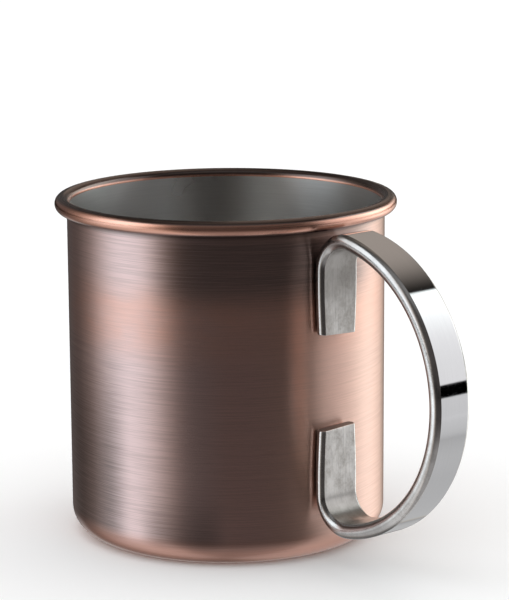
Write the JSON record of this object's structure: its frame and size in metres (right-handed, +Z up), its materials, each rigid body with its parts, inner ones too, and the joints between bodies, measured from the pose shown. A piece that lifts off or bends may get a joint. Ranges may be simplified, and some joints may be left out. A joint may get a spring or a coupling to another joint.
{
  "type": "mug",
  "caption": "Straight-sided copper-plated steel drinking mug with a rolled rim and a D-shaped handle bent from flat polished steel bar.",
  "frame": {"origin": "centre of the cup's flat base, on the surface it stands on", "axes": "+Z up along the cup's axis, +X out through the middle of the handle"},
  "size_m": [0.1319, 0.0904, 0.0903],
  "materials": {
    "copper_plate": "thin sheet steel, copper plated outside with an antique finish brushed round the wall, bare satin steel inside",
    "polished_steel": "mirror polished on the outer face and rounded edges, satin on the inner face and the flat tabs",
    "weld_steel": "as welded, hidden behind the tabs"
  },
  "bodies": {
    "root": {"cup_body": "copper_plate", "handle_bar": "polished_steel", "upper_weld": "weld_steel", "lower_weld": "weld_steel"}
  },
  "joints": []
}
